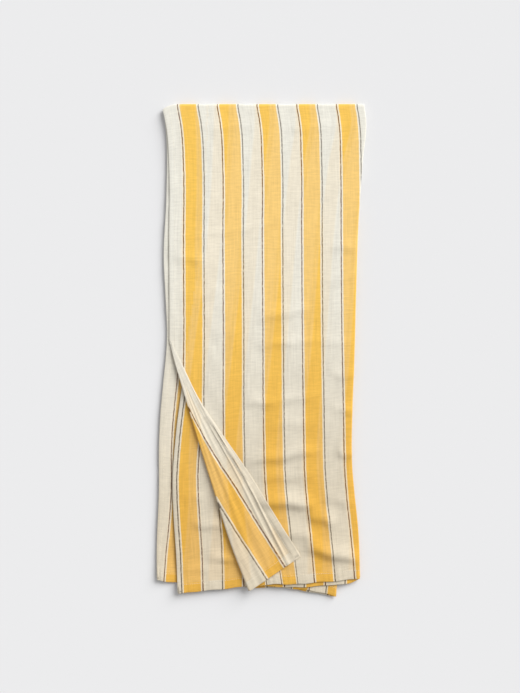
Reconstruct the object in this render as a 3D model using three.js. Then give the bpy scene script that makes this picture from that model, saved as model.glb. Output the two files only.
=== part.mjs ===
import * as THREE from 'three';

// A baby wrap sling: one long rectangle of striped gauze, folded in half lengthwise and then
// across, lying flat with one corner of its top ply turned over. Millimetres, +Z up, +Y towards
// the cross fold, +X towards the lengthwise folds. The origin is under the middle of the bundle.

// The cloth as it was cut.
const clothWidth = 700;
const clothLength = 1900;
const plyThickness = 2.4;      // one loose ply with the air that its creases hold
const plyGap = 0.3;
const seamGap = 0.3;           // between pieces of one ply
const railHemWidth = 12;       // hem along each long edge
const endHemWidth = 18;        // hem across each end
const threadInset = 3;         // from a hem's inner line to its sewing thread
const threadWidth = 0.8;
const threadHeight = 0.35;

// How it is folded.
const foldOffMiddle = 40;      // the lengthwise fold runs this far off the middle at the cross fold
const backLean = 3.4;          // degrees, how far each half turns from square to the cross fold
const backHemTilt = -4.9;
const frontLean = 0.6;
const frontHemTilt = 3.5;
const frontTakeUp = 20;        // length that the creases of the front half use up
const topPlySetBack = 9;       // the top ply ends this far before the ply under it
const frontWaist = 17;         // how far the lengthwise fold bows in on the front half
const waistPlace = 0.6;        // share of the fold's length from the cross fold to the waist

// The turned-over corner, measured from the corner along its two edges.
const turnedAlongRail = 480;
const turnedAlongEnd = 122;

const edgeSteps = 12;            // facets along a bowed fold
const roundSteps = 10;           // facets round a fold
const clothRoughness = 0.95;

// Plies counted up from the floor.
const level = (ply) => ply * (plyThickness + plyGap);
const backOuter = 0;
const backInner = 1;
const frontInner = 2;
const frontOuter = 3;
const turnedOver = 4;

const colours = {
  panel: '#efbe55',
  fold: '#e9b64c',
  hem: '#eee8d8',
  thread: '#fbf7ec',
};

function point(x, y) {
  return new THREE.Vector2(x, y);
}

// A step of the given length, turned from the direction of -Y towards -X by an angle in degrees.
function stepDown(length, degrees) {
  const angle = THREE.MathUtils.degToRad(degrees);
  return point(-length * Math.sin(angle), -length * Math.cos(angle));
}

// A step of the given length towards -X, falling towards -Y by an angle in degrees.
function stepLeft(length, degrees) {
  const angle = THREE.MathUtils.degToRad(degrees);
  return point(-length * Math.cos(angle), -length * Math.sin(angle));
}

// The part of an outline to the left of the line from a to b, at least a given distance from it.
function leftOf(outline, a, b, distance) {
  const along = b.clone().sub(a).normalize();
  const aside = (p) => along.cross(p.clone().sub(a)) - distance;
  const kept = [];
  outline.forEach((corner, i) => {
    const next = outline[(i + 1) % outline.length];
    const here = aside(corner);
    const there = aside(next);
    if (here >= 0) {
      kept.push(corner);
    }
    if (here * there < 0) {
      kept.push(corner.clone().lerp(next, here / (here - there)));
    }
  });
  return kept;
}

// The band of an outline between two distances to the left of the line from a to b.
function band(outline, a, b, near, far) {
  return leftOf(leftOf(outline, a, b, near), b, a, -far);
}

function mirrored(outline, a, b) {
  const along = b.clone().sub(a).normalize();
  const flip = (p) => {
    const foot = along.clone().multiplyScalar(p.clone().sub(a).dot(along)).add(a);
    return foot.multiplyScalar(2).sub(p);
  };
  return outline.map(flip).reverse();
}

function makeMesh(name, kind, geometry) {
  const material = new THREE.MeshStandardMaterial({
    color: colours[kind],
    roughness: clothRoughness,
    metalness: 0,
  });
  const mesh = new THREE.Mesh(geometry, material);
  mesh.name = name;
  return mesh;
}

function slab(name, kind, outline, bottom, thickness) {
  const geometry = new THREE.ExtrudeGeometry(new THREE.Shape(outline), {
    depth: thickness,
    bevelEnabled: false,
  });
  const mesh = makeMesh(name, kind, geometry);
  mesh.position.z = bottom;
  return mesh;
}

// A ply turning back on itself round a fold line, bulging to the left of the line's direction.
function foldStrip(name, curve, steps, lowerPly, upperPly) {
  const bottom = level(lowerPly);
  const top = level(upperPly) + plyThickness;
  const outer = (top - bottom) / 2;
  const section = new THREE.Shape();
  section.absarc(0, 0, outer, 0, Math.PI, false);
  section.absarc(0, 0, outer - plyThickness, Math.PI, 0, true);
  const geometry = new THREE.ExtrudeGeometry(section, {
    steps,
    curveSegments: roundSteps,
    extrudePath: curve,
  });
  const mesh = makeMesh(name, 'fold', geometry);
  mesh.position.z = bottom + outer;
  return mesh;
}

function straight(a, b) {
  return new THREE.LineCurve3(new THREE.Vector3(a.x, a.y, 0), new THREE.Vector3(b.x, b.y, 0));
}

// The lengthwise fold of one half, from the cross fold down, bowed in by `waist`.
function foldEdge(top, bottom, waist) {
  const control = top.clone().lerp(bottom, waistPlace).sub(point(2 * waist, 0));
  return new THREE.QuadraticBezierCurve3(
    new THREE.Vector3(top.x, top.y, 0),
    new THREE.Vector3(control.x, control.y, 0),
    new THREE.Vector3(bottom.x, bottom.y, 0),
  );
}

// One ply, running counter-clockwise from the top of its side edge.
function plyOutline(edge, topWidth, endWidth, hemTilt) {
  const right = edge.getPoints(edgeSteps).map((p) => point(p.x - seamGap, p.y));
  const topRight = right[0];
  const bottomRight = right[edgeSteps];
  const topLeft = point(topRight.x - topWidth, topRight.y);
  const bottomLeft = bottomRight.clone().add(stepLeft(endWidth, hemTilt));
  return { topLeft, bottomLeft, bottomRight, points: [topLeft, bottomLeft, ...right.reverse()] };
}

// The panel, two hems and two sewing threads that an outline holds, as named plan outlines.
function plyPieces(ply) {
  const { topLeft, bottomLeft, bottomRight, points } = ply;
  const endHem = band(points, bottomLeft, bottomRight, 0, endHemWidth);
  const aboveHem = leftOf(points, bottomLeft, bottomRight, endHemWidth + seamGap);
  const railHem = band(aboveHem, topLeft, bottomLeft, 0, railHemWidth);
  const endThreadAt = endHemWidth - threadInset;
  const railThreadAt = railHemWidth - threadInset;
  return {
    panel: leftOf(aboveHem, topLeft, bottomLeft, railHemWidth + seamGap),
    end_hem: endHem,
    rail_hem: railHem,
    end_thread: band(endHem, bottomLeft, bottomRight, endThreadAt - threadWidth, endThreadAt),
    rail_thread: band(railHem, topLeft, bottomLeft, railThreadAt - threadWidth, railThreadAt),
  };
}

function addPly(group, name, pieces, ply) {
  const bottom = level(ply);
  const hemThickness = plyThickness - threadHeight - seamGap;
  const threadBottom = bottom + hemThickness + seamGap;
  group.add(slab(`${name}_panel`, 'panel', pieces.panel, bottom, plyThickness));
  group.add(slab(`${name}_end_hem`, 'hem', pieces.end_hem, bottom, hemThickness));
  group.add(slab(`${name}_rail_hem`, 'hem', pieces.rail_hem, bottom, hemThickness));
  for (const thread of ['end_thread', 'rail_thread']) {
    group.add(slab(`${name}_${thread}`, 'thread', pieces[thread], threadBottom, threadHeight));
  }
}

function mapPieces(pieces, change) {
  return Object.fromEntries(Object.entries(pieces).map(([name, outline]) => [name, change(outline)]));
}

// The corner where the cross fold meets the lengthwise folds is the plan's own zero point.
const foldCorner = point(0, 0);
const halfLength = clothLength / 2;
const halfWidth = clothWidth / 2;
const outerTopWidth = halfWidth + foldOffMiddle;
const innerTopWidth = halfWidth - foldOffMiddle;
const plyTop = point(foldCorner.x, foldCorner.y - seamGap);

function makeBackHalf(group) {
  const end = plyTop.clone().add(stepDown(halfLength, backLean));
  const edge = foldEdge(plyTop, end, 0);
  const outer = plyOutline(edge, outerTopWidth, halfWidth, backHemTilt);
  const inner = plyOutline(edge, innerTopWidth, halfWidth, backHemTilt);
  addPly(group, 'back_outer', plyPieces(outer), backOuter);
  addPly(group, 'back_inner', plyPieces(inner), backInner);
  group.add(foldStrip('back_side_fold', edge, 1, backOuter, backInner));
}

function makeFrontHalf(group) {
  const end = plyTop.clone().add(stepDown(halfLength - frontTakeUp, frontLean));
  const outerEnd = point(end.x, end.y + topPlySetBack);
  const innerEdge = foldEdge(plyTop, end, frontWaist);
  const outerEdge = foldEdge(plyTop, outerEnd, frontWaist);
  const inner = plyOutline(innerEdge, innerTopWidth, halfWidth, frontHemTilt);
  const outer = plyOutline(outerEdge, outerTopWidth, halfWidth, frontHemTilt);
  addPly(group, 'front_inner', plyPieces(inner), frontInner);
  group.add(foldStrip('front_side_fold', outerEdge, edgeSteps, frontInner, frontOuter));

  const corner = outer.bottomLeft;
  const alongRail = outer.topLeft.clone().sub(corner).setLength(turnedAlongRail);
  const alongEnd = outer.bottomRight.clone().sub(corner).setLength(turnedAlongEnd);
  const creaseTop = corner.clone().add(alongRail);
  const creaseEnd = corner.clone().add(alongEnd);
  const whole = plyPieces(outer);
  const staying = mapPieces(whole, (outline) => leftOf(outline, creaseTop, creaseEnd, seamGap));
  const turned = mapPieces(whole, (outline) => leftOf(outline, creaseEnd, creaseTop, seamGap));
  addPly(group, 'front_outer', staying, frontOuter);
  addPly(
    group,
    'turned_corner',
    mapPieces(turned, (outline) => mirrored(outline, creaseTop, creaseEnd)),
    turnedOver,
  );
  group.add(foldStrip('turned_corner_crease', straight(creaseEnd, creaseTop), 1, frontOuter, turnedOver));
}

// Both cross folds run along the top, the outer plies' round the inner plies'.
function makeCrossFolds(group) {
  const outerLeft = point(foldCorner.x - outerTopWidth, foldCorner.y);
  const innerLeft = point(foldCorner.x - innerTopWidth, foldCorner.y);
  group.add(foldStrip('cross_fold_outer', straight(outerLeft, foldCorner), 1, backOuter, frontOuter));
  group.add(foldStrip('cross_fold_inner', straight(innerLeft, foldCorner), 1, backInner, frontInner));
}

const group = new THREE.Group();
makeBackHalf(group);
makeFrontHalf(group);
makeCrossFolds(group);

const bounds = new THREE.Box3().setFromObject(group);
const middle = bounds.getCenter(new THREE.Vector3());
group.position.set(-middle.x, -middle.y, -bounds.min.z);

export default group;
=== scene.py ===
import math
import bpy
import numpy as np
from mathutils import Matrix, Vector


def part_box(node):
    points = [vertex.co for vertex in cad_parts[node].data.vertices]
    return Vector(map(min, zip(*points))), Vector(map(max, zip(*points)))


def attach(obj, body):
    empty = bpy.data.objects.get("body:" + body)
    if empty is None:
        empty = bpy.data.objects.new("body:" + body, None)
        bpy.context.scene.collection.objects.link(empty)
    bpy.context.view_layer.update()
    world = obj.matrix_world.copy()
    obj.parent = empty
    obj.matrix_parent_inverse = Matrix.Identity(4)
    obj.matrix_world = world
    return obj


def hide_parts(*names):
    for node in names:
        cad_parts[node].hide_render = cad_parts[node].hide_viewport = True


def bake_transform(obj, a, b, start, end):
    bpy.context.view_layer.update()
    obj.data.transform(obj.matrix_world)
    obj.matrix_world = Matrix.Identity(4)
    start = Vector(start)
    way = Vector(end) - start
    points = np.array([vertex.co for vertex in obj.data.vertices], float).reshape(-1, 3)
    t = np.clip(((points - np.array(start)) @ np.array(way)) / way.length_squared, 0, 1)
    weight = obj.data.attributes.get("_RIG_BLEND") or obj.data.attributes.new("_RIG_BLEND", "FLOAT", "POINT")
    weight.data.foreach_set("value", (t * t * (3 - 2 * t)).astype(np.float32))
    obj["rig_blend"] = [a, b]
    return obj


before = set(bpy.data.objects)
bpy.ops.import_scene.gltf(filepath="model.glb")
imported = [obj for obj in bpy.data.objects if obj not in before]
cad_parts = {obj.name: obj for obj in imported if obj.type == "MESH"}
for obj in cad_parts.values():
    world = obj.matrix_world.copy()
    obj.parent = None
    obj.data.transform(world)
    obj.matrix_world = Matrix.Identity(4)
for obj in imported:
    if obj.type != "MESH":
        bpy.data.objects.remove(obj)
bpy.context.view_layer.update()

foldLow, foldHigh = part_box("cross_fold_outer")
foldY = foldLow.y                       # the cross fold's centre line
midZ = (foldLow.z + foldHigh.z) / 2     # halfway between the back half and the front half
print("frame loaded")

# Across is measured from the wide-margin side edge. Along is measured from the cross
# fold, plus on the front half and minus on the back half. All in metres.
cloth = {
    "width": 0.700,
    "length": 1.900,
    "halfThickness": 0.0003,
    "margin": 0.028,          # pale margin beside the wide-margin edge
    "repeat": 0.078,          # one pale and one yellow stripe
    "yellowWidth": 0.0405,
    "outerLevel": 0.00405,    # outer plies stand this far from the middle of the stack
    "innerLevel": 0.00135,
    "sideHem": 0.012,
    "endHem": 0.018,
    "hemHalf": 0.00065,
}
halfLength = cloth["length"] / 2
sideRadius = (cloth["outerLevel"] - cloth["innerLevel"]) / 2
sideLevel = (cloth["outerLevel"] + cloth["innerLevel"]) / 2
sideBend = math.pi * sideRadius / 2
thirdLine = cloth["margin"] + 2 * cloth["repeat"]
outerRun = halfLength - math.pi * cloth["outerLevel"] / 2


def smoothCurve(points):
    xs, ys = np.array(points, float).T
    slopes = np.gradient(ys, xs)

    def at(x):
        x = np.clip(x, xs[0], xs[-1])
        i = np.clip(np.searchsorted(xs, x) - 1, 0, len(xs) - 2)
        h = xs[i + 1] - xs[i]
        f = (x - xs[i]) / h
        g = 1 - f
        start = (1 + 2 * f) * g * g * ys[i] + f * g * g * h * slopes[i]
        end = f * f * (3 - 2 * f) * ys[i + 1] - f * f * g * h * slopes[i + 1]
        return start + end

    return at


def ease(x, low, high):
    f = np.clip((x - low) / (high - low), 0, 1)
    return f * f * (3 - 2 * f)


def mix(a, b, f):
    return a + (b - a) * f


# How the front half lies. Pairs are (distance down from the cross fold, x). In the reaches
# they are (distance across the cloth, how far down the hem lies), counted from the
# wide-margin edge for the outer ply and from the lengthwise fold for the inner one.
frontHalf = {
    "thirdLineX": [(0, -0.0085), (0.037, -0.0025), (0.115, 0.0015), (0.26, 0.002),
                   (0.455, 0.003), (0.57, 0.0035), (0.65, 0.0045), (0.727, 0.0065),
                   (0.79, 0.0110), (0.844, 0.0165), (0.90, 0.0215), (0.944, 0.025)],
    "spread": [(0, 0.992), (0.115, 0.980), (0.26, 0.983), (0.455, 0.986),
               (0.57, 0.997), (0.77, 0.998), (0.944, 1.005)],
    "foldX": [(0, 0.2005), (0.021, 0.2035), (0.115, 0.1966), (0.237, 0.1887),
              (0.377, 0.1842), (0.521, 0.1805), (0.60, 0.1774), (0.73, 0.1774),
              (0.766, 0.1805), (0.856, 0.1892), (0.944, 0.192)],
    "innerEdgeX": [(0, -0.105), (0.15, -0.110), (0.3, -0.122), (0.5, -0.148),
                   (0.649, -0.1671), (0.719, -0.172), (0.795, -0.170),
                   (0.863, -0.1655), (0.94, -0.162)],
    "outerReach": [(0, 0.945), (0.105, 0.940), (0.125, 0.934), (0.16, 0.930),
                   (0.225, 0.928), (0.30, 0.924), (0.348, 0.918), (0.39, 0.918)],
    "innerReach": [(0, 0.918), (0.015, 0.927), (0.045, 0.931), (0.24, 0.936),
                   (0.36, 0.951)],
    "creaseX": [(0.44, -0.182), (0.459, -0.1775), (0.56, -0.1480), (0.66, -0.1172),
                (0.76, -0.0855), (0.86, -0.0535), (0.9437, -0.0214)],
    "freeEdgeX": [(0.459, -0.177), (0.512, -0.153), (0.574, -0.124), (0.652, -0.0739),
                  (0.717, -0.0298), (0.8215, 0.0344), (0.8885, 0.0762), (0.944, 0.090)],
    "foldReach": 0.918,       # how far down the fold itself reaches
}
# How the back half lies under it, swung a little to the left
backHalf = {
    "edgeX": [(0, -0.1890), (0.066, -0.1840), (0.183, -0.1845), (0.303, -0.1895),
              (0.38, -0.1860), (0.455, -0.1830), (0.552, -0.1906), (0.611, -0.196), (0.675, -0.1988),
              (0.766, -0.1990), (0.887, -0.2034), (0.944, -0.2030)],
    "firstLineX": [(0, -0.1625), (0.115, -0.1590), (0.3, -0.1620), (0.455, -0.1570),
                   (0.552, -0.165), (0.611, -0.171), (0.675, -0.1752),
                   (0.766, -0.1757), (0.844, -0.1815), (0.883, -0.1857),
                   (0.944, -0.190)],
    "foldX": [(0, 0.2005), (0.115, 0.194), (0.237, 0.184), (0.455, 0.176),
              (0.7, 0.163), (0.944, 0.1455)],
    "innerEdgeX": [(0, -0.105), (0.3, -0.112), (0.5, -0.125), (0.7, -0.145),
                   (0.944, -0.150)],
    "outerReach": [(0, 0.9225), (0.018, 0.925), (0.045, 0.926), (0.203, 0.9365),
                   (0.26, 0.938), (0.296, 0.944), (0.334, 0.950), (0.3565, 0.953),
                   (0.39, 0.953)],
    "innerReach": [(0, 0.953), (0.02, 0.949), (0.1, 0.938), (0.35, 0.928)],
    "foldReach": 0.953,
    "turnAtEnd": 0.3565,      # where the lengthwise fold falls on the cloth at the hem
}
front = {name: smoothCurve(value) for name, value in frontHalf.items() if type(value) is list}
back = {name: smoothCurve(value) for name, value in backHalf.items() if type(value) is list}

# The corner turned over on the front ply
corner = {
    "startRun": 0.459,        # where the crease leaves the side edge, down from the fold
    "acrossAtEnd": 0.105,     # cloth turned over, along the hem
    "hiddenStrip": 0.010,     # how far its cloth runs on under itself
    "freeEdge": [(0, -0.1765, 0.016), (0.11, -0.1535, -0.031), (0.25, -0.124, -0.092),
                 (0.435, -0.0739, -0.1686), (0.594, -0.0298, -0.2328),
                 (0.841, 0.0344, -0.336), (1, 0.0762, -0.402)],
    "rollStart": 0.0026,
    "rollEnd": 0.0066,
    "marginSpread": 1.30,     # the margin lies stretched out on the turned corner
    "clothSpread": 1.065,
    # soft pleats along it, places from free edge 0 to crease 1:
    # (place at the top, place at the hem, height, half width)
    "pleats": [(0.02, 0.235, 0.0024, 0.020), (0.10, 0.10, 0.0008, 0.028),
               (0.22, 0.325, 0.0013, 0.026), (0.46, 0.53, 0.0009, 0.07),
               (0.66, 0.74, 0.0013, 0.06), (0.88, 0.90, 0.0007, 0.05)],
}
cornerStart = corner["startRun"] + math.pi * cloth["outerLevel"] / 2
freeEdgeX = smoothCurve([(c, x) for c, x, y in corner["freeEdge"]])
freeEdgeY = smoothCurve([(c, y) for c, x, y in corner["freeEdge"]])

# How loosely the layers lie
loose = {
    "creaseWander": 0.0016,
    "swellOuter": (0.0009, 0.0024),     # near the cross fold, near the hem
    "swellInner": (0.0005, 0.0013),
    "swellBack": (0.0004, 0.0002),      # inner, outer
    "sinkLeft": (0.0010, 0.0016),       # where the layers below end: outer, inner
    "sinkRight": 0.0026,
    "hemRise": 0.0030,
    "edgeCurl": 0.0049,                 # of the lowest ply's wide-margin edge
    "curlWidth": 0.045,
    "pucker": 0.00026,
    "cornerDrop": 0.009,                # the cross fold's corner is rounded off
    "cornerAcross": 0.026,
    "cornerRun": 0.05,
}

# Creases across the cloth: from x, y to x, y, then height, soft side, sharp side
topCreases = [
    (0.006, -0.298, 0.098, -0.302, 0.0086, 0.0180, 0.0090),
    (0.094, -0.323, 0.140, -0.336, 0.0056, 0.0180, 0.0100),
    (0.092, -0.388, 0.182, -0.409, 0.0080, 0.0180, 0.0088),
    (-0.014, -0.219, 0.102, -0.199, 0.0049, 0.0150, 0.0070),
    (-0.030, -0.106, 0.030, -0.105, 0.0023, 0.0120, 0.0060),
    (0.020, -0.104, 0.108, -0.090, 0.0022, 0.0120, 0.0070),
    (0.010, -0.152, 0.100, -0.142, 0.0016, 0.0140, 0.0090),
    (0.000, -0.252, 0.095, -0.246, 0.0024, 0.0140, 0.0080),
    (-0.006, 0.007, 0.060, 0.012, 0.0019, 0.0110, 0.0055),
    (0.040, 0.014, 0.176, 0.014, 0.0014, 0.0120, 0.0070),
    (-0.008, 0.057, 0.088, 0.078, 0.0028, 0.0150, 0.0075),
    (0.138, -0.052, 0.188, -0.050, 0.0019, 0.0120, 0.0070),
    (0.142, -0.118, 0.186, -0.121, 0.0023, 0.0120, 0.0070),
    (0.148, -0.203, 0.186, -0.207, 0.0033, 0.0140, 0.0070),
    (0.138, 0.196, 0.194, 0.198, 0.0020, 0.0120, 0.0070),
    (0.120, 0.128, 0.188, 0.146, 0.0014, 0.0130, 0.0090),
    (-0.166, 0.178, -0.112, 0.172, 0.0018, 0.0110, 0.0060),
    (-0.160, 0.212, 0.036, 0.246, 0.0009, 0.0080, 0.0045),
    (-0.150, 0.100, -0.070, 0.112, 0.0009, 0.0120, 0.0080),
    (-0.110, 0.025, -0.040, 0.035, 0.0008, 0.0120, 0.0080),
    (0.030, -0.352, 0.100, -0.366, 0.0039, 0.0160, 0.0120),
    (0.120, -0.290, 0.180, -0.300, 0.0021, 0.0140, 0.0090),
    (0.020, -0.420, 0.090, -0.415, 0.0021, 0.0120, 0.0080),
    (-0.120, 0.430, -0.020, 0.436, 0.0009, 0.0120, 0.0080),
    (0.040, 0.428, 0.160, 0.436, 0.0011, 0.0120, 0.0080),
]
lowerCreases = [
    (-0.132, -0.343, -0.062, -0.345, 0.0035, 0.0130, 0.0065),
    (-0.100, -0.410, -0.040, -0.406, 0.0039, 0.0120, 0.0065),
    (-0.150, -0.430, -0.090, -0.426, 0.0018, 0.0100, 0.0060),
    (-0.150, -0.290, -0.110, -0.286, 0.0014, 0.0120, 0.0080),
    (-0.200, -0.140, -0.165, -0.142, 0.0014, 0.0100, 0.0060),
]


def creaseHeight(creases, x, y):
    total = np.zeros_like(x)
    for x0, y0, x1, y1, height, softSide, sharpSide in creases:
        length = math.hypot(x1 - x0, y1 - y0)
        dx, dy = (x1 - x0) / length, (y1 - y0) / length
        alongIt = ((x - x0) * dx + (y - y0) * dy) / length
        acrossIt = (y - y0) * dx - (x - x0) * dy
        acrossIt = acrossIt + loose["creaseWander"] * np.sin(alongIt * 9 + 40 * y0)
        fall = np.where(acrossIt > 0, softSide, sharpSide)
        ends = np.exp(-np.abs((alongIt - 0.5) / 0.52) ** 4)
        total = total + height * ends * np.exp(-(acrossIt / fall) ** 2)
    return total


def swell(x, y, seed):
    # long, low waves that no laid cloth is without
    a = np.sin(31 * x + 17 * y + seed) * np.sin(9 * x - 38 * y + 2 * seed)
    b = np.sin(52 * x - 26 * y + 3 * seed) * np.sin(61 * y + 19 * x + seed)
    c = np.sin(97 * y + 12 * np.sin(14 * x + seed) + 5 * seed) * np.sin(40 * x + 1.7 * seed)
    return (0.45 * a + 0.30 * b + 0.25 * c + 1) / 2


def restOn(x, y):
    # how far the front half sinks where the layers under it end
    down = foldY - y
    beyondInner = ease(front["innerEdgeX"](down) + 0.006 - x, 0, 0.024)
    beyondBack = ease(x - back["foldX"](down) - 0.002, 0, 0.030)
    start = ease(down, 0.02, 0.12)
    return beyondInner * start, beyondBack * start


def hemRise(x, y):
    # the sewn ends don't lie quite flat; every layer rises alike
    wave = 0.55 + 0.9 * swell(1.4 * x, y, 2.7)
    return loose["hemRise"] * ease(-y, 0.405, 0.468) * wave


def liftFrontOuter(x, y):
    left, right = restOn(x, y)
    lift = creaseHeight(topCreases, x, y) + 0.6 * creaseHeight(lowerCreases, x, y)
    lift = lift + mix(*loose["swellOuter"], ease(foldY - y, 0.30, 0.75)) * swell(x, y, 1.3)
    lift = lift - loose["sinkLeft"][0] * left - loose["sinkRight"] * right + hemRise(x, y)
    return lift * ease(foldY - y, 0.004, 0.05)


def liftFrontInner(x, y):
    left, right = restOn(x, y)
    lift = 0.55 * creaseHeight(topCreases, x, y) + creaseHeight(lowerCreases, x, y)
    lift = lift + mix(*loose["swellInner"], ease(foldY - y, 0.30, 0.75)) * swell(x, y, 1.3)
    lift = lift - loose["sinkLeft"][1] * left - loose["sinkRight"] * right + hemRise(x, y)
    return lift * ease(foldY - y, 0.004, 0.05)


def liftBackInner(x, y):
    lift = loose["swellBack"][0] * swell(x, y, 4.1) + hemRise(x, y)
    return lift * ease(foldY - y, 0.004, 0.05)


def liftBackOuter(x, y):
    # its wide-margin edge curls a few millimetres off the floor
    width = loose["curlWidth"]
    nearEdge = ease(back["edgeX"](foldY - y) + width - x, 0, width)
    curl = loose["edgeCurl"] * (0.85 + 0.25 * swell(1.7 * x, 1.6 * y, 6.2)) * nearEdge
    lift = loose["swellBack"][1] * swell(x, y, 4.1) + curl + hemRise(x, y)
    return lift * ease(foldY - y, 0.004, 0.05)


def frontTurn(run):
    span = front["foldX"](run) - sideRadius - front["thirdLineX"](run)
    return thirdLine + span / front["spread"](run) + sideBend


turnAtFold = float(frontTurn(np.array(0.0)))


def turnAcross(along):
    # where the lengthwise fold falls on the cloth
    run = np.maximum(np.abs(along) - math.pi * cloth["outerLevel"] / 2, 0)
    backTurn = mix(turnAtFold, backHalf["turnAtEnd"], run / outerRun)
    return np.where(along >= 0, frontTurn(run), backTurn)


def creaseAcross(along):
    # where the corner's crease falls on the cloth
    c = (along - cornerStart) / (halfLength - cornerStart)
    return corner["acrossAtEnd"] * np.clip(c, 0, 1.2)


def pucker(across, along):
    # the hem's stitches draw the cloth up in short, uneven gathers
    wave = np.sin(across * 2 * math.pi / 0.0127) + 0.8 * np.sin(across * 2 * math.pi / 0.0171 + 1)
    wave = wave * (0.6 + 0.4 * np.sin(across * 37 + 2)) + 0.5 * np.sin(across * 160)
    away = np.abs(along) - (halfLength - 0.016)
    reach = np.where(away < 0, 0.015, 0.022)
    return loose["pucker"] * (wave + 1.6) * np.exp(-(away / reach) ** 2)


def clothPoint(across, along):
    across, along = np.broadcast_arrays(np.asarray(across, float), np.asarray(along, float))
    onFront = along >= 0
    past = across - turnAcross(along)
    phi = np.clip((past + sideBend) / sideRadius, 0, math.pi)
    level = sideLevel + sideRadius * np.cos(phi)
    arc = math.pi * level / 2
    run = np.maximum(np.abs(along) - arc, 0)
    theta = np.clip((arc - along) / level, 0, math.pi)
    inward = np.maximum(past - sideBend, 0)
    outerPart = past < -sideBend
    innerPart = past > sideBend
    # the rows use the outer ply's run, so that one row keeps one lengthwise fold
    row = np.maximum(np.abs(along) - math.pi * cloth["outerLevel"] / 2, 0)
    rest = cloth["width"] - (across - past) - sideBend

    foldX = front["foldX"](row)
    lineX = front["thirdLineX"](row)
    spread = front["spread"](row)
    xOuter = lineX + spread * (across - thirdLine)
    crease = creaseAcross(along)
    freeX = front["freeEdgeX"](row)
    freeAcross = thirdLine + (freeX - lineX) / spread
    share = (across - crease) / np.maximum(freeAcross - crease, 0.004)
    xUnder = mix(front["creaseX"](row), freeX, share)
    covered = (row > corner["startRun"]) & (across < freeAcross)
    xOuter = np.where(covered, xUnder, xOuter)
    xSide = foldX - sideRadius + sideRadius * np.sin(phi)
    xInner = foldX - sideRadius - inward * (foldX - sideRadius - front["innerEdgeX"](row)) / rest
    xFront = np.where(outerPart, xOuter, np.where(innerPart, xInner, xSide))
    reach = np.where(innerPart, front["innerReach"](inward), front["outerReach"](across))
    reach = np.where(outerPart | innerPart, reach, frontHalf["foldReach"])
    yFront = -run / (halfLength - arc) * reach

    foldX = back["foldX"](row)
    edgeX = back["edgeX"](row)
    lineX = back["firstLineX"](row)
    margin = cloth["margin"]
    pastLine = (across - margin) / (across - past - sideBend - margin)
    xOuter = np.where(across < margin, mix(edgeX, lineX, across / margin),
                      mix(lineX, foldX - sideRadius, pastLine))
    xSide = foldX - sideRadius + sideRadius * np.sin(phi)
    xInner = foldX - sideRadius - inward * (foldX - sideRadius - back["innerEdgeX"](row)) / rest
    xBack = np.where(outerPart, xOuter, np.where(innerPart, xInner, xSide))
    reach = np.where(innerPart, back["innerReach"](inward), back["outerReach"](across))
    reach = np.where(outerPart | innerPart, reach, backHalf["foldReach"])
    yBack = -run / (halfLength - arc) * reach

    # round the cross fold the place across slides from the front half's to the back's
    x = np.where(run > 0, np.where(onFront, xFront, xBack), mix(xFront, xBack, theta / math.pi))
    y = foldY + np.where(onFront, yFront, yBack) + level * np.sin(theta)
    nearCorner = np.clip(1 - across / loose["cornerAcross"], 0, 1) ** 2
    y = y - loose["cornerDrop"] * nearCorner * np.exp(-run / loose["cornerRun"])
    hemWave = 0.0009 * np.sin(across * 47 + 1) + 0.0006 * np.sin(across * 121)
    y = y + hemWave * ease(np.abs(along), 0.90, 0.95)

    outerShare = (1 + np.cos(phi)) / 2
    liftFront = mix(liftFrontInner(x, y), liftFrontOuter(x, y), outerShare)
    liftBack = mix(liftBackInner(x, y), liftBackOuter(x, y), outerShare)
    lift = np.where(onFront, liftFront, liftBack) + pucker(across, along) * (0.5 + 0.5 * outerShare)
    z = midZ + level * np.cos(theta) + lift
    return np.stack([x, y, z], -1)


def cornerPoint(place, along):
    # place: -1 to 0 under the corner, 0 to 1 round the crease, 1 to 2 on to the free edge
    place, along = np.broadcast_arrays(np.asarray(place, float), np.asarray(along, float))
    c = (along - cornerStart) / (halfLength - cornerStart)
    crease = creaseAcross(along)
    strip = corner["hiddenStrip"] * ease(c, 0, 0.08)
    under = clothPoint(crease + np.maximum(-place, 0) * strip, along)
    roll = mix(corner["rollStart"], corner["rollEnd"], np.clip(c, 0, 1)) * ease(c, -0.05, 0.12)
    phi = np.clip(place, 0, 1) * math.pi
    f = np.clip(2 - place, 0, 1.0)
    f = np.where(place > 2, 2 - place, f)      # the hem's rounded lip passes the edge a little
    edgeX, edgeY = freeEdgeX(c), freeEdgeY(c)
    x = mix(edgeX, under[..., 0], f)
    y = mix(edgeY, under[..., 1], f)
    runOff = np.maximum(along - halfLength, 0)
    x = np.where(place > 1, x + 0.54 * runOff, x)
    y = np.where(place > 1, y - 0.84 * runOff, y)
    below = midZ + cloth["outerLevel"] + liftFrontOuter(x, y)
    height = 0.0014 + (roll - 0.0014) * np.clip(f, 0, 1) ** 1.6
    grow = ease(c, 0.02, 0.5)
    for top, bottom, size, halfWidth in corner["pleats"]:
        bend = mix(top, bottom, c) + 0.008 * np.sin(5 * c + 9 * bottom)
        height = height + size * grow * np.exp(-((f - bend) / halfWidth) ** 2)
    topPucker = pucker(np.clip(f, 0, 1) * 0.11 + 0.4, along)
    hemPucker = mix(topPucker, pucker(crease, along), np.clip(f, 0, 1) ** 4)
    top = np.stack([x, y, below + height + hemPucker], -1)
    rollTop = 0.5 * (1 - np.cos(phi))

    side = np.stack([under[..., 0] - 0.952 * roll / 2 * np.sin(phi),
                     under[..., 1] - 0.306 * roll / 2 * np.sin(phi),
                     under[..., 2] + roll * rollTop], -1)
    return np.where((place > 1)[..., None], top, np.where((place > 0)[..., None], side, under))


def marginSpread(c):
    return mix(1.0, corner["marginSpread"], ease(c, 0.2, 0.55))


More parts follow.
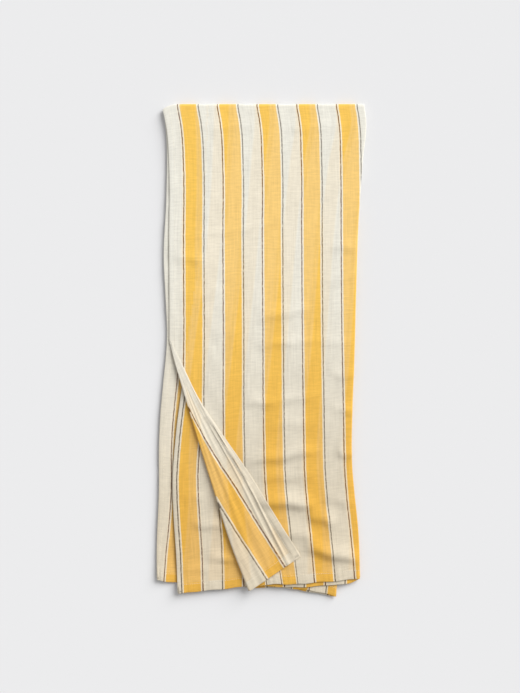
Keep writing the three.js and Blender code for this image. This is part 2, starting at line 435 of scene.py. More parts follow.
def cornerCloth(place, along):
    # the cloth coordinate across at a place on the turned corner
    c = (along - cornerStart) / (halfLength - cornerStart)
    crease = creaseAcross(along)
    point = cornerPoint(np.full_like(along, 1.0001), along)
    width = np.hypot(point[..., 0] - freeEdgeX(c), point[..., 1] - freeEdgeY(c))
    f = np.clip(2 - place, 0, 1)
    reach = width * f
    margin = cloth["margin"]
    spread = marginSpread(c)

    def clothAt(distance):
        beyond = margin + (distance - margin * spread) / corner["clothSpread"]
        return np.where(distance < margin * spread, distance / spread, beyond)

    across = clothAt(reach) + (crease - clothAt(width)) * f ** 4
    strip = corner["hiddenStrip"] * ease(c, 0, 0.08)
    return np.where(place < 1, crease + np.maximum(-place, 0) * strip, across)


def plyBelow(point, across, along):
    # which part of the cloth lies under a point of the front half, for what shows through
    x = point[..., 0]
    row = np.maximum(np.abs(along) - math.pi * cloth["outerLevel"] / 2, 0)
    turn = turnAcross(along)
    foldX = front["foldX"](row) - sideRadius
    edgeX = front["innerEdgeX"](row)
    rest = cloth["width"] - turn - sideBend
    onInner = turn + sideBend + (foldX - x) * rest / (foldX - edgeX)
    lineX = back["firstLineX"](row)
    backFold = back["foldX"](row) - sideRadius
    backTurn = mix(turnAtFold, backHalf["turnAtEnd"], row / outerRun) - sideBend
    onBack = cloth["margin"] + (x - lineX) * (backTurn - cloth["margin"]) / (backFold - lineX)
    isOuter = across < turn
    below = np.where(isOuter & (x > edgeX), onInner, onBack)
    return np.where(along > 0, below, 0.010)


def spaced(stops):
    # stops are (from, to, step); the ends meet
    values = [stops[0][0]]
    for start, end, step in stops:
        count = max(1, round(abs(end - start) / step))
        values += [start + (end - start) * i / count for i in range(1, count + 1)]
    return np.array(values)


def patch(points, clothAcross, clothAlong, below, half):
    return {"points": points, "across": clothAcross, "along": clothAlong,
            "below": below, "half": half}


def makePiece(name, patches, material):
    vertices, faces, maps, belows = [], [], [], []
    for p in patches:
        points = p["points"]
        rows, columns = points.shape[:2]
        alongRow = np.gradient(points, axis=0)
        alongColumn = np.gradient(points, axis=1)
        normal = np.cross(alongRow, alongColumn)
        normal /= np.maximum(np.linalg.norm(normal, axis=-1, keepdims=True), 1e-12)
        half = np.broadcast_to(p["half"], (rows, columns))[..., None]
        base = sum(len(v) for v in vertices)
        size = rows * columns
        vertices.append((points + normal * half).reshape(-1, 3))
        vertices.append((points - normal * half).reshape(-1, 3))
        index = np.arange(size).reshape(rows, columns) + base
        a, b = index[:-1, :-1], index[1:, :-1]
        c, d = index[1:, 1:], index[:-1, 1:]
        faces.append(np.stack([a, b, c, d], -1).reshape(-1, 4))
        faces.append(np.stack([d, c, b, a], -1).reshape(-1, 4) + size)
        rim = np.concatenate([index[:, 0], index[-1, 1:], index[-2::-1, -1], index[0, -2::-1]])
        here, there = rim[:-1], rim[1:]
        faces.append(np.stack([here + size, there + size, there, here], -1))
        both = np.stack([p["across"], p["along"]], -1).reshape(-1, 2)
        maps += [both, both]
        belows += [p["below"].reshape(-1)] * 2
    vertices = np.concatenate(vertices)
    faces = np.concatenate(faces)
    maps, belows = np.concatenate(maps), np.concatenate(belows)
    mesh = bpy.data.meshes.new(name)
    mesh.from_pydata(vertices.tolist(), [], faces.tolist())
    corners = np.empty(len(mesh.loops), int)
    mesh.loops.foreach_get("vertex_index", corners)
    layer = mesh.uv_layers.new(name="clothMap")
    layer.data.foreach_set("uv", maps[corners].astype(np.float32).ravel())
    layer = mesh.uv_layers.new(name="belowMap")
    second = np.stack([belows, maps[:, 1]], -1)
    layer.data.foreach_set("uv", second[corners].astype(np.float32).ravel())
    mesh.polygons.foreach_set("use_smooth", [True] * len(mesh.polygons))
    mesh.update()
    mesh.validate()
    piece = bpy.data.objects.new(name, mesh)
    bpy.context.scene.collection.objects.link(piece)
    piece.data.materials.append(material)
    print(name, len(faces) * 2, "triangles")
    return piece


# Colours and finishes
def linear(hexColour):
    # sRGB hex to the linear numbers the shaders want
    out = []
    for i in (1, 3, 5):
        c = int(hexColour[i:i + 2], 16) / 255
        out.append(c / 12.92 if c <= 0.04045 else ((c + 0.055) / 1.055) ** 2.4)
    return (*out, 1)


def addNode(tree, kind, inputs=(), **settings):
    # an input is given a value, a socket, or a node whose first output it takes
    node = tree.nodes.new(kind)
    for name, value in settings.items():
        setattr(node, name, value)
    for name, given in inputs:
        if isinstance(given, bpy.types.Node):
            given = given.outputs[0]
        if isinstance(given, bpy.types.NodeSocket):
            tree.links.new(given, node.inputs[name])
        else:
            node.inputs[name].default_value = given
    return node


def newMaterial(name):
    material = bpy.data.materials.new(name)
    material.use_nodes = True
    material.node_tree.nodes.clear()
    return material


def setStops(ramp, stops):
    elements = ramp.color_ramp.elements
    while len(elements) > 1:
        elements.remove(elements[-1])
    elements[0].position, elements[0].color = stops[0]
    for position, colour in stops[1:]:
        elements.new(position).color = colour


# Yarn-dyed cotton gauze, plain woven: matt, soft, a little see-through, each thread its own tone
gauze = {
    "pale": "#ebe8dc",
    "yellow": "#f7c75c",
    "guard": "#f6efdc",       # the whiter threads beside each line
    "brownLine": "#663c24",
    "greyLine": "#6f665c",
    "lineWidth": 0.0020,
    "guardWidth": 0.0026,
    "soften": 0.0004,
    "blurBelow": 0.0045,      # the layer below shows with soft edges
    "linesBelow": 0.35,       # and with fainter lines
    "seeThrough": 0.15,
    "wander": 0.0016,         # how far the stripes stray from straight
    "threadPitch": 0.0012,    # real gauze is nearer 0.8 mm; drawn coarser so that it shows
    "weaveHeight": 0.35,
    "bumpDistance": 0.0004,
    "roughness": 0.9,
    "specular": 0.2,
    "sheen": 0.12,
    "sheenRoughness": 0.5,
    "paintedEndShade": "#eae0d2",     # painted shade: a little warmer and deeper towards the ends, standing in for the light falling off and the shading of the folds there
    "endShadeFrom": 0.20,         # metres from the cross fold
    "endShadeTo": 0.90,
    # cells per metre across, cells per metre along, detail
    "noises": {
        "wander": (3, 60, 2.0),
        "slub": (420, 150, 3.0),
        "warp": (950, 26, 2.0),         # tone of each lengthwise thread
        "weft": (30, 820, 2.0),         # and of each crosswise one
        "cloud": (16, 12, 1.0),         # slight unevenness of the dye
        "thickWarp": (330, 12, 1.0),    # thick and thin yarn
        "thickWeft": (50, 300, 1.0),
    },
    "toneBase": 0.60,
    "toneShares": {"warp": 0.16, "weft": 0.14, "cloud": 0.08, "thickWarp": 0.20,
                   "thickWeft": 0.22},
}


def stripes(tree, across, slub, soften):
    # one repeat: brown line, yellow, grey line, pale
    repeat = cloth["repeat"]
    line, guard = gauze["lineWidth"] / 2 / repeat, gauze["guardWidth"] / repeat
    soft = soften / repeat
    second = cloth["yellowWidth"] / repeat
    pale, yellow = linear(gauze["pale"]), linear(gauze["yellow"])
    white, off, on = linear(gauze["guard"]), (0, 0, 0, 1), (1, 1, 1, 1)
    groundStops = [
        (0, white), (line + guard, white), (line + guard + soft, yellow),
        (second - line - guard - soft, yellow), (second - line - guard, white),
        (second + line, white), (second + line + soft, pale),
        (1 - line - guard * 0.6 - soft, pale), (1 - line - guard * 0.6, white)]
    brownStops = [
        (0, on), (line, on), (line + soft, off), (1 - line - soft, off), (1 - line, on)]
    greyStops = [
        (second - line - soft, off), (second - line, on), (second + line, on),
        (second + line + soft, off)]

    place = addNode(tree, "ShaderNodeMath", [(0, across), (1, cloth["margin"])],
                    operation="SUBTRACT")
    place = addNode(tree, "ShaderNodeMath", [(0, place), (1, repeat)], operation="DIVIDE")
    place = addNode(tree, "ShaderNodeMath", [(0, place)], operation="FRACT")
    colour = addNode(tree, "ShaderNodeValToRGB", [("Fac", place)])
    setStops(colour, groundStops)
    for stops, dye in ((brownStops, gauze["brownLine"]), (greyStops, gauze["greyLine"])):
        drawn = addNode(tree, "ShaderNodeValToRGB", [("Fac", place)])
        setStops(drawn, stops)
        cover = addNode(tree, "ShaderNodeMath", [(0, drawn), (1, slub)], operation="MULTIPLY")
        colour = addNode(tree, "ShaderNodeMix", [(0, cover), (6, colour), (7, linear(dye))],
                         data_type="RGBA").outputs[2]
    return colour


def wovenMaterial(name, seeThrough, weaveDepth):
    material = newMaterial(name)
    tree = material.node_tree
    mapped = addNode(tree, "ShaderNodeUVMap", uv_map="clothMap")
    place = addNode(tree, "ShaderNodeSeparateXYZ", [(0, mapped)]).outputs
    noise = {}
    for kind, (cellsAcross, cellsAlong, detail) in gauze["noises"].items():
        cells = addNode(tree, "ShaderNodeVectorMath",
                        [(0, mapped), (1, (cellsAcross, cellsAlong, 1))], operation="MULTIPLY")
        noise[kind] = addNode(tree, "ShaderNodeTexNoise",
                              [("Vector", cells), ("Scale", 1.0), ("Detail", detail),
                               ("Roughness", 0.55)])

    centred = addNode(tree, "ShaderNodeMath", [(0, noise["wander"]), (1, 0.5)],
                      operation="SUBTRACT")
    shift = addNode(tree, "ShaderNodeMath", [(0, centred), (1, gauze["wander"])],
                    operation="MULTIPLY")
    across = addNode(tree, "ShaderNodeMath", [(0, place[0]), (1, shift)], operation="ADD")
    slub = addNode(tree, "ShaderNodeMapRange",
                   [("Value", noise["slub"]), ("From Min", 0.30), ("From Max", 0.52),
                    ("To Min", 0.45), ("To Max", 1.0)])
    colour = stripes(tree, across, slub, gauze["soften"])
    if seeThrough:
        below = addNode(tree, "ShaderNodeUVMap", uv_map="belowMap")
        belowPlace = addNode(tree, "ShaderNodeSeparateXYZ", [(0, below)])
        faint = addNode(tree, "ShaderNodeMath", [(0, slub), (1, gauze["linesBelow"])],
                        operation="MULTIPLY")
        under = stripes(tree, belowPlace, faint, gauze["blurBelow"])
        colour = addNode(tree, "ShaderNodeMix", [(0, seeThrough), (6, colour), (7, under)],
                         data_type="RGBA").outputs[2]

    tone = gauze["toneBase"]
    for kind, share in gauze["toneShares"].items():
        part = addNode(tree, "ShaderNodeMath", [(0, noise[kind]), (1, share)],
                       operation="MULTIPLY")
        tone = addNode(tree, "ShaderNodeMath", [(0, part), (1, tone)], operation="ADD")
    # painted shade: the colour is made warmer and darker towards both ends of the cloth
    fromFold = addNode(tree, "ShaderNodeMath", [(0, place[1])], operation="ABSOLUTE")
    endShadeShare = addNode(tree, "ShaderNodeMapRange",
                      [("Value", fromFold), ("From Min", gauze["endShadeFrom"]),
                       ("From Max", gauze["endShadeTo"])], interpolation_type="SMOOTHSTEP")
    tint = addNode(tree, "ShaderNodeMix",
                   [(0, endShadeShare), (6, (1, 1, 1, 1)), (7, linear(gauze["paintedEndShade"]))],
                   data_type="RGBA").outputs[2]
    for shade in (tint, tone):
        colour = addNode(tree, "ShaderNodeMix", [(0, 1.0), (6, colour), (7, shade)],
                         data_type="RGBA", blend_type="MULTIPLY").outputs[2]

    waves = []
    for direction in (place[0], place[1]):
        phase = addNode(tree, "ShaderNodeMath",
                        [(0, direction), (1, 2 * math.pi / gauze["threadPitch"])],
                        operation="MULTIPLY")
        waves.append(addNode(tree, "ShaderNodeMath", [(0, phase)], operation="SINE"))
    weave = addNode(tree, "ShaderNodeMath", [(0, waves[0]), (1, waves[1])],
                    operation="MULTIPLY")
    raised = addNode(tree, "ShaderNodeMath", [(0, weave), (1, gauze["weaveHeight"])],
                     operation="MULTIPLY")
    uneven = addNode(tree, "ShaderNodeMath", [(0, noise["warp"]), (1, noise["weft"])],
                     operation="ADD")
    height = addNode(tree, "ShaderNodeMath", [(0, raised), (1, uneven)], operation="ADD")
    bump = addNode(tree, "ShaderNodeBump",
                   [("Height", height), ("Strength", weaveDepth),
                    ("Distance", gauze["bumpDistance"])])
    shader = addNode(tree, "ShaderNodeBsdfPrincipled",
                     [("Base Color", colour), ("Normal", bump),
                      ("Roughness", gauze["roughness"]),
                      ("Specular IOR Level", gauze["specular"]),
                      ("Sheen Weight", gauze["sheen"]),
                      ("Sheen Roughness", gauze["sheenRoughness"])])
    addNode(tree, "ShaderNodeOutputMaterial", [("Surface", shader)])
    return material


stripedGauze = wovenMaterial("yarnDyedCottonGauze", gauze["seeThrough"], 0.5)
hemGauze = wovenMaterial("foldedCottonGauzeHem", 0.0, 0.6)   # three layers, so nothing shows through

# Spun cotton sewing thread: pale and matt, shaded across its twist
thread = {
    "colour": "#efe9da",
    "shade": "#d9cfba",
    "roughness": 0.8,
    "sheen": 0.2,
    "twistPitch": 0.00754,    # the real twist is nearer 0.6 mm; drawn coarser so that it shows
    "twistDepth": 0.0001,
    "pitch": 0.0036,
    "length": 0.0025,
    "halfWidth": 0.00034,
    "lean": 0.14,             # radians, how far a stitch strays from the hem's line
}


def threadMaterial():
    material = newMaterial("spunCottonThread")
    tree = material.node_tree
    place = addNode(tree, "ShaderNodeTexCoord").outputs["Object"]
    # at scale 1 a diagonal band turns through ten radians in each metre along an axis
    twist = addNode(tree, "ShaderNodeTexWave",
                    [("Vector", place), ("Scale", 2 * math.pi / 10 / thread["twistPitch"]),
                     ("Distortion", 1.5), ("Detail", 1.0)],
                    bands_direction="DIAGONAL").outputs["Fac"]
    colour = addNode(tree, "ShaderNodeMix",
                     [(0, twist), (6, linear(thread["shade"])), (7, linear(thread["colour"]))],
                     data_type="RGBA").outputs[2]
    bump = addNode(tree, "ShaderNodeBump",
                   [("Height", twist), ("Strength", 0.4), ("Distance", thread["twistDepth"])])
    shader = addNode(tree, "ShaderNodeBsdfPrincipled",
                     [("Base Color", colour), ("Normal", bump),
                      ("Roughness", thread["roughness"]), ("Sheen Weight", thread["sheen"])])
    addNode(tree, "ShaderNodeOutputMaterial", [("Surface", shader)])
    return material


sewingThread = threadMaterial()
print("materials made")

# The two layers of cloth. Their meshes meet a little inside the lengthwise fold,
# between the layers, where it doesn't show.
outerLayer = {
    "columns": 118,
    "foldColumns": 7,
    "turnIn": 0.010,
    "backStep": 0.0092,
    "frontStep": 0.0052,
    "hemStep": 0.0042,
}
arcEnd = math.pi * cloth["outerLevel"] / 2
arcInner = math.pi * cloth["innerLevel"] / 2
sheetEnd = halfLength - 0.002
alongRows = spaced([
    (-sheetEnd, -0.915, outerLayer["hemStep"]), (-0.915, -arcEnd, outerLayer["backStep"]),
    (-arcEnd, -arcInner, 0.0011), (-arcInner, arcInner, 0.0006), (arcInner, arcEnd, 0.0011),
    (arcEnd, cornerStart, outerLayer["frontStep"]), (cornerStart, 0.90, outerLayer["frontStep"]),
    (0.90, sheetEnd, outerLayer["hemStep"])])


def unfolding(across, along):
    # 0 on the back half, 1 on the front half, even along the cloth round the fold
    past = across - turnAcross(along)
    phi = np.clip((past + sideBend) / sideRadius, 0, math.pi)
    level = sideLevel + sideRadius * np.cos(phi)
    theta = np.clip((math.pi * level / 2 - along) / level, 0, math.pi)
    return 1 - theta / math.pi


def clothPatch(across, along, half, see=True):
    across, along = np.broadcast_arrays(across, along)
    points = clothPoint(across, along)
    below = plyBelow(points, across, along) if see else np.full(across.shape, 0.01)
    return patch(points, across, along, below, half)


def outerGrid():
    turn = turnAcross(alongRows)[:, None]
    c = (alongRows - cornerStart) / (halfLength - cornerStart)
    strip = corner["hiddenStrip"] * ease(c, 0, 0.08)
    left = np.where(alongRows >= cornerStart, creaseAcross(alongRows) + strip, 0)[:, None]
    flat = mix(left, turn - sideBend, np.linspace(0, 1, outerLayer["columns"] + 1)[None])
    share = np.linspace(0, 1, outerLayer["foldColumns"] + 1)[None, 1:]
    roundFold = turn - sideBend + 2 * sideBend * share
    inside = turn + sideBend + outerLayer["turnIn"] * np.linspace(0, 1, 4)[None, 1:]
    return np.concatenate([flat, roundFold, inside], 1)


def innerGrid():
    start = turnAcross(alongRows)[:, None] + sideBend + outerLayer["turnIn"]
    share = spaced([(0, 0.66, 0.66 / 26), (0.66, 1, 0.34 / 34)])[None]
    return mix(start, cloth["width"], share)


outerAcross, innerAcross = outerGrid(), innerGrid()
outerCloth = makePiece("outer_layer", [clothPatch(
    outerAcross, alongRows[:, None], cloth["halfThickness"])], stripedGauze)
innerCloth = makePiece("inner_layer", [clothPatch(
    innerAcross, alongRows[:, None], cloth["halfThickness"])], stripedGauze)


# The turned-over corner: on from the outer layer's cut line, round the crease and flat on top
def cornerPatch(place, along, half, see=False):
    place, along = np.broadcast_arrays(place, along)
    points = cornerPoint(place, along)
    run = np.maximum(foldY - points[..., 1], 0)
    below = thirdLine + (points[..., 0] - front["thirdLineX"](run)) / front["spread"](run)
    return patch(points, cornerCloth(place, along), along, below, half)


cornerRows = alongRows[alongRows >= cornerStart]
cornerPlaces = spaced([(-1, 0, 0.34), (0, 1, 0.11), (1, 1.6, 0.025), (1.6, 2, 0.014)])
turnedCorner = makePiece("turned_corner_cloth", [cornerPatch(
    cornerPlaces[None], cornerRows[:, None], cloth["halfThickness"])], stripedGauze)

# Hems: the cloth's edges folded over and sewn, three layers thick, soft at both sides
hem = {
    # (place from the sewn side to the outer edge, share of the full thickness)
    "shape": [(0, 0.34), (0.03, 0.52), (0.08, 0.66), (0.13, 0.56), (0.18, 0.68), (0.3, 0.92),
              (0.5, 1.0), (0.7, 0.98), (0.88, 0.86), (0.96, 0.60), (1.0, 0.24)],
    "stitchAt": 0.13,
    "endStep": 0.0030,
    "sideStep": 0.0070,
    "lip": 0.0007,
}
hemPlace = np.array([w for w, h in hem["shape"]])
hemHalf = np.array([h for w, h in hem["shape"]]) * cloth["hemHalf"]
endAlong = mix(halfLength - cloth["endHem"], halfLength + hem["lip"], hemPlace)
sideAcross = mix(cloth["sideHem"], -hem["lip"], hemPlace)


def stepsBetween(start, end, step):
    return np.linspace(start, end, max(2, round(abs(end - start) / step)))


frontHemAcross = stepsBetween(corner["acrossAtEnd"] + 0.006, cloth["width"] - 0.0005, hem["endStep"])
backHemAcross = stepsBetween(0.0005, cloth["width"] - 0.0005, hem["endStep"])
frontHem = makePiece("front_end_hem", [clothPatch(
    frontHemAcross[None], endAlong[:, None], hemHalf[:, None], False)], hemGauze)
backHem = makePiece("back_end_hem", [clothPatch(
    backHemAcross[None], -endAlong[::-1, None], hemHalf[::-1, None], False)], hemGauze)
cornerHemPlaces = spaced([(-0.9, 0, 0.3), (0, 1, 0.11), (1, 2.004, 0.0245)])
cornerHem = makePiece("corner_hem_along_end", [cornerPatch(
    cornerHemPlaces[None], endAlong[:, None], hemHalf[:, None])], hemGauze)

foldRows = spaced([(-0.9475, -arcEnd, hem["sideStep"]), (-arcEnd, arcEnd, 0.0009),
                   (arcEnd, 0.9475, hem["sideStep"])])
# past the turned corner's start the wide-margin hem narrows to a point under it
wideRows = foldRows[foldRows < cornerStart + 0.0515][:, None]
wideTaper = np.maximum(creaseAcross(wideRows), 0) / cloth["sideHem"]
wideAcross = mix(sideAcross[None, ::-1], cloth["sideHem"], wideTaper)
wideSideHem = makePiece("wide_margin_side_hem", [clothPatch(
    wideAcross, wideRows, hemHalf[None, ::-1] * (1 - 0.6 * wideTaper), False)], hemGauze)
narrowSideHem = makePiece("narrow_margin_side_hem", [clothPatch(
    cloth["width"] - sideAcross[None], foldRows[:, None], hemHalf[None], False)], hemGauze)


def cornerSideGrid(rows, fromEdge):
    # places on the turned corner at given distances from its free edge
    c = (rows - cornerStart) / (halfLength - cornerStart)
    point = cornerPoint(np.full_like(rows, 1.0001), rows)
    width = np.hypot(point[..., 0] - freeEdgeX(c), point[..., 1] - freeEdgeY(c))
    spread = marginSpread(c)
    width = np.maximum(width, 0.001)
    fits = np.minimum(1, 0.92 * width / (cloth["sideHem"] * spread))
    return 2 - fromEdge[None] * (spread * fits / width)[:, None]


cornerSideRows = spaced([(cornerStart + 0.006, 0.9475, 0.006)])
cornerSideHem = makePiece("corner_hem_along_side", [cornerPatch(
    cornerSideGrid(cornerSideRows, sideAcross), cornerSideRows[:, None], hemHalf[None])], hemGauze)
print("cloth and hems made")


# Stitches: one short thread after another along each hem, on both faces
def stitchTree():
    tree = bpy.data.node_groups.new("hemStitches", "GeometryNodeTree")
    face = tree.interface
    face.new_socket("Geometry", in_out="INPUT", socket_type="NodeSocketGeometry")
    for name in ("stitchPitch", "stitchLength", "threadHalfWidth", "stitchLean"):
        face.new_socket(name, in_out="INPUT", socket_type="NodeSocketFloat")
    face.new_socket("threadMaterial", in_out="INPUT", socket_type="NodeSocketMaterial")
    face.new_socket("Geometry", in_out="OUTPUT", socket_type="NodeSocketGeometry")
    given = addNode(tree, "NodeGroupInput").outputs
    points = addNode(tree, "GeometryNodeCurveToPoints",
                     [("Curve", given["Geometry"]), ("Length", given["stitchPitch"])],
                     mode="LENGTH").outputs
    bead = addNode(tree, "GeometryNodeMeshUVSphere",
                   [("Segments", 6), ("Rings", 4), ("Radius", 1.0)])
    halfStitch = addNode(tree, "ShaderNodeMath", [(0, given["stitchLength"]), (1, 0.5)],
                         operation="MULTIPLY")
    size = addNode(tree, "ShaderNodeCombineXYZ",
                   [(0, given["threadHalfWidth"]), (1, given["threadHalfWidth"]),
                    (2, halfStitch)])
    leanBack = addNode(tree, "ShaderNodeMath", [(0, given["stitchLean"]), (1, -1.0)],
                       operation="MULTIPLY")
    lowest = addNode(tree, "ShaderNodeCombineXYZ", [(i, leanBack) for i in range(3)])
    highest = addNode(tree, "ShaderNodeCombineXYZ", [(i, given["stitchLean"]) for i in range(3)])
    lean = addNode(tree, "FunctionNodeRandomValue", [(0, lowest), (1, highest), ("Seed", 7)],
                   data_type="FLOAT_VECTOR")
    asTurn = addNode(tree, "FunctionNodeEulerToRotation", [(0, lean)])
    turned = addNode(tree, "FunctionNodeRotateRotation",
                     [(0, points["Rotation"]), (1, asTurn)], rotation_space="LOCAL")
    placed = addNode(tree, "GeometryNodeInstanceOnPoints",
                     [("Points", points["Points"]), ("Instance", bead),
                      ("Rotation", turned), ("Scale", size)])
    real = addNode(tree, "GeometryNodeRealizeInstances", [(0, placed)])
    smooth = addNode(tree, "GeometryNodeSetShadeSmooth", [(0, real)])
    finish = addNode(tree, "GeometryNodeSetMaterial",
                     [(0, smooth), ("Material", given["threadMaterial"])])
    addNode(tree, "NodeGroupOutput", [(0, finish)])
    return tree


hemStitches = stitchTree()


def bothFaces(pointAt, first, second, offset):
    # the hem's stitch line on its upper and its lower face
    step = 0.0006
    a = pointAt(first + step, second) - pointAt(first - step, second)
    b = pointAt(first, second + step) - pointAt(first, second - step)
    normal = np.cross(b, a)
    normal /= np.maximum(np.linalg.norm(normal, axis=-1, keepdims=True), 1e-12)
    middle = pointAt(first, second)
    return [middle + normal * offset, middle - normal * offset]


def makeStitches(name, lines):
    data = bpy.data.curves.new(name + "_path", "CURVE")
    data.dimensions = "3D"
    for line in lines:
        spline = data.splines.new("POLY")
        spline.points.add(len(line) - 1)
        spline.points.foreach_set("co", np.c_[line, np.ones(len(line))].astype(np.float32).ravel())
    path = bpy.data.objects.new(name + "_path", data)
    bpy.context.scene.collection.objects.link(path)
    modifier = path.modifiers.new("hemStitches", "NODES")
    modifier.node_group = hemStitches
    values = {"stitchPitch": thread["pitch"], "stitchLength": thread["length"],
              "threadHalfWidth": thread["halfWidth"], "stitchLean": thread["lean"],
              "threadMaterial": sewingThread}
    for item in hemStitches.interface.items_tree:
        if item.in_out == "INPUT" and item.name in values:
            modifier[item.identifier] = values[item.name]
    graph = bpy.context.evaluated_depsgraph_get()
    graph.update()
    mesh = bpy.data.meshes.new_from_object(path.evaluated_get(graph), depsgraph=graph)
    mesh.name = name
    bpy.data.objects.remove(path)
    piece = bpy.data.objects.new(name, mesh)
    bpy.context.scene.collection.objects.link(piece)
    if sewingThread.name not in [m.name for m in mesh.materials if m]:
        mesh.materials.clear()
        mesh.materials.append(sewingThread)
    print(name, sum(len(p.vertices) - 2 for p in mesh.polygons), "triangles")
    return piece


stitchAlong = halfLength - cloth["endHem"] * (1 - hem["stitchAt"])
stitchAcross = cloth["sideHem"] * (1 - hem["stitchAt"])
stitchLift = cloth["hemHalf"] * 0.56 + thread["halfWidth"] * 0.55


def clothLine(across, along):
    across, along = np.broadcast_arrays(across, along)
    return bothFaces(clothPoint, across, along, stitchLift)


def cornerLine(place, along):
    place, along = np.broadcast_arrays(place, along)
    return bothFaces(cornerPoint, place, along, stitchLift)


foldClear = 0.010
frontRun = stepsBetween(foldClear, cornerStart + 0.022, 0.004)
wholeRun = stepsBetween(foldClear, 0.932, 0.004)
frontStitches = makeStitches("front_half_stitches", [
    *clothLine(stepsBetween(corner["acrossAtEnd"] + 0.012, 0.690, 0.002), stitchAlong),
    *clothLine(stitchAcross, frontRun),
    *clothLine(cloth["width"] - stitchAcross, wholeRun)])
backStitches = makeStitches("back_half_stitches", [
    *clothLine(stepsBetween(0.010, 0.690, 0.002), -stitchAlong),
    *clothLine(stitchAcross, -wholeRun),
    *clothLine(cloth["width"] - stitchAcross, -wholeRun)])
cornerStitchRows = stepsBetween(cornerStart + 0.050, 0.932, 0.004)
cornerStitchPlace = cornerSideGrid(cornerStitchRows, np.array([stitchAcross]))[:, 0]
cornerStitches = makeStitches("corner_stitches", [
    *cornerLine(stepsBetween(1.02, 1.90, 0.02), stitchAlong),
    *cornerLine(cornerStitchPlace, cornerStitchRows)])
print("stitches made")


# What each piece rides on
def setWeights(piece, weights):
    # the upper face's points come first in the mesh, then the lower face's
    layer = piece.data.attributes["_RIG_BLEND"]
    layer.data.foreach_set("value", np.tile(weights.reshape(-1), 2).astype(np.float32))


def bendOverFold(piece, across, along):
    # the share that follows the front half grows evenly along the cloth round the fold
    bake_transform(piece, "back_half", "front_half", start=(0, foldY, midZ - 0.001),
             end=(0, foldY, midZ + 0.001))
    across, along = np.broadcast_arrays(across, along)
    setWeights(piece, unfolding(across, along))


def bendOverCrease(piece, place, along):
    low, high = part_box("turned_corner_crease")
    middle = (low + high) / 2
    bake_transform(piece, "front_half", "turned_corner", start=(middle.x, middle.y, low.z),
             end=(middle.x, middle.y, high.z))
    place, along = np.broadcast_arrays(place, along)
    setWeights(piece, np.clip(place, 0, 1))


bendOverFold(outerCloth, outerAcross, alongRows[:, None])
bendOverFold(innerCloth, innerAcross, alongRows[:, None])
bendOverFold(wideSideHem, wideAcross, wideRows)
bendOverFold(narrowSideHem, cloth["width"] - sideAcross[None], foldRows[:, None])
bendOverCrease(turnedCorner, cornerPlaces[None], cornerRows[:, None])
bendOverCrease(cornerHem, cornerHemPlaces[None], endAlong[:, None])
for piece, body in ((frontHem, "front_half"), (backHem, "back_half"),
                    (cornerSideHem, "turned_corner"), (frontStitches, "front_half"),
                    (backStitches, "back_half"), (cornerStitches, "turned_corner")):
    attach(piece, body)

plies = ("back_outer", "back_inner", "front_inner", "front_outer")
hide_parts("back_outer_panel", "front_outer_panel", "cross_fold_outer",
            "back_side_fold", "front_side_fold")
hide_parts("back_inner_panel", "front_inner_panel", "cross_fold_inner")
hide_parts("turned_corner_panel", "turned_corner_crease")
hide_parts("front_outer_end_hem", "front_inner_end_hem")
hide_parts("back_outer_end_hem", "back_inner_end_hem")
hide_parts("turned_corner_end_hem")
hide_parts("front_outer_rail_hem", "back_outer_rail_hem")
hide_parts("front_inner_rail_hem", "back_inner_rail_hem")
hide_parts("turned_corner_rail_hem")
for piece, names in ((frontStitches, plies[2:]), (backStitches, plies[:2]),
                     (cornerStitches, ("turned_corner",))):
    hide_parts(*[n + end for n in names for end in ("_end_thread", "_rail_thread")])

# Floor, light and camera
studio = {
    "floor": "#e7e7e8",
    "floorSize": 300,
    "floorGrain": 400.0,      # cells per metre
    "worldLight": 0.46,
    "keyStrength": 3.40,
    "keyHeight": 33,          # degrees above the floor
    "keyTurn": 45,            # degrees from the right, towards the far end
    "keySpread": 46,
    "cameraHeight": 3.0,
    "clothHeight": 0.010,
    "farthest": 400,
    "viewHeight": 1.3479,     # of what the camera takes in at the cloth
    "aimX": -0.0025,
    "aimY": 0.0054,
}


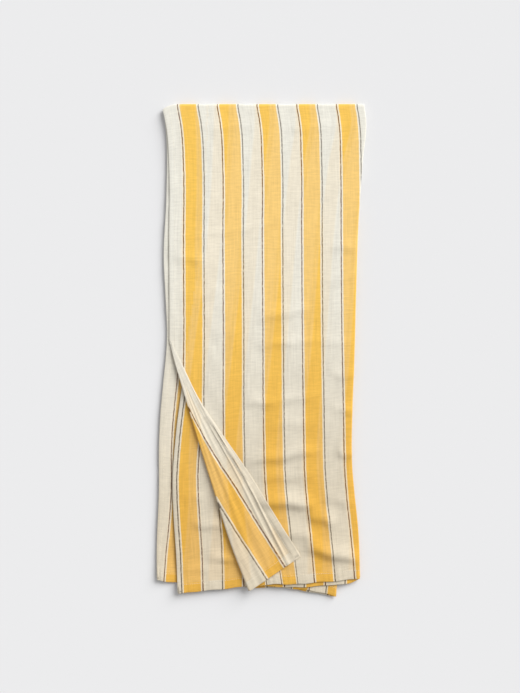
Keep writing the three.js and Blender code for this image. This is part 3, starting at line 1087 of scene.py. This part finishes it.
def makeFloor():
    bpy.ops.mesh.primitive_plane_add(size=studio["floorSize"], location=(0, 0, 0))
    floor = bpy.context.object
    floor.name = "studio_floor"
    # painted board: matt and even, with the faintest grain
    material = newMaterial("mattPaintedBoard")
    tree = material.node_tree
    place = addNode(tree, "ShaderNodeTexCoord").outputs["Object"]
    grain = addNode(tree, "ShaderNodeTexNoise",
                    [("Vector", place), ("Scale", studio["floorGrain"]), ("Detail", 2.0)])
    bump = addNode(tree, "ShaderNodeBump",
                   [("Height", grain), ("Strength", 0.02), ("Distance", 0.0002)])
    shader = addNode(tree, "ShaderNodeBsdfPrincipled",
                     [("Base Color", linear(studio["floor"])), ("Normal", bump),
                      ("Roughness", 0.95), ("Specular IOR Level", 0.1)])
    addNode(tree, "ShaderNodeOutputMaterial", [("Surface", shader)])
    floor.data.materials.append(material)


def makeLight():
    world = bpy.data.worlds.new("studioFill")
    bpy.context.scene.world = world
    world.use_nodes = True
    background = world.node_tree.nodes["Background"]
    background.inputs["Color"].default_value = (1, 1, 1, 1)
    background.inputs["Strength"].default_value = studio["worldLight"]
    data = bpy.data.lights.new("keyLight", "SUN")
    data.energy = studio["keyStrength"]
    data.angle = math.radians(studio["keySpread"])
    key = bpy.data.objects.new("keyLight", data)
    height, turn = math.radians(studio["keyHeight"]), math.radians(studio["keyTurn"])
    toLight = Vector((math.cos(height) * math.cos(turn), math.cos(height) * math.sin(turn),
                      math.sin(height)))
    key.rotation_euler = toLight.to_track_quat("Z", "Y").to_euler()
    bpy.context.scene.collection.objects.link(key)


def makeCamera():
    data = bpy.data.cameras.new("camera")
    data.sensor_fit = "VERTICAL"
    data.sensor_height = 36
    distance = studio["cameraHeight"] - studio["clothHeight"]
    data.lens = data.sensor_height * distance / studio["viewHeight"]
    data.clip_end = studio["farthest"]
    camera = bpy.data.objects.new("camera", data)
    camera.location = (studio["aimX"], studio["aimY"], studio["cameraHeight"])
    bpy.context.scene.collection.objects.link(camera)
    bpy.context.scene.camera = camera


makeFloor()
makeLight()
makeCamera()
bpy.context.scene.view_settings.view_transform = "Standard"
print("floor, light and camera made")
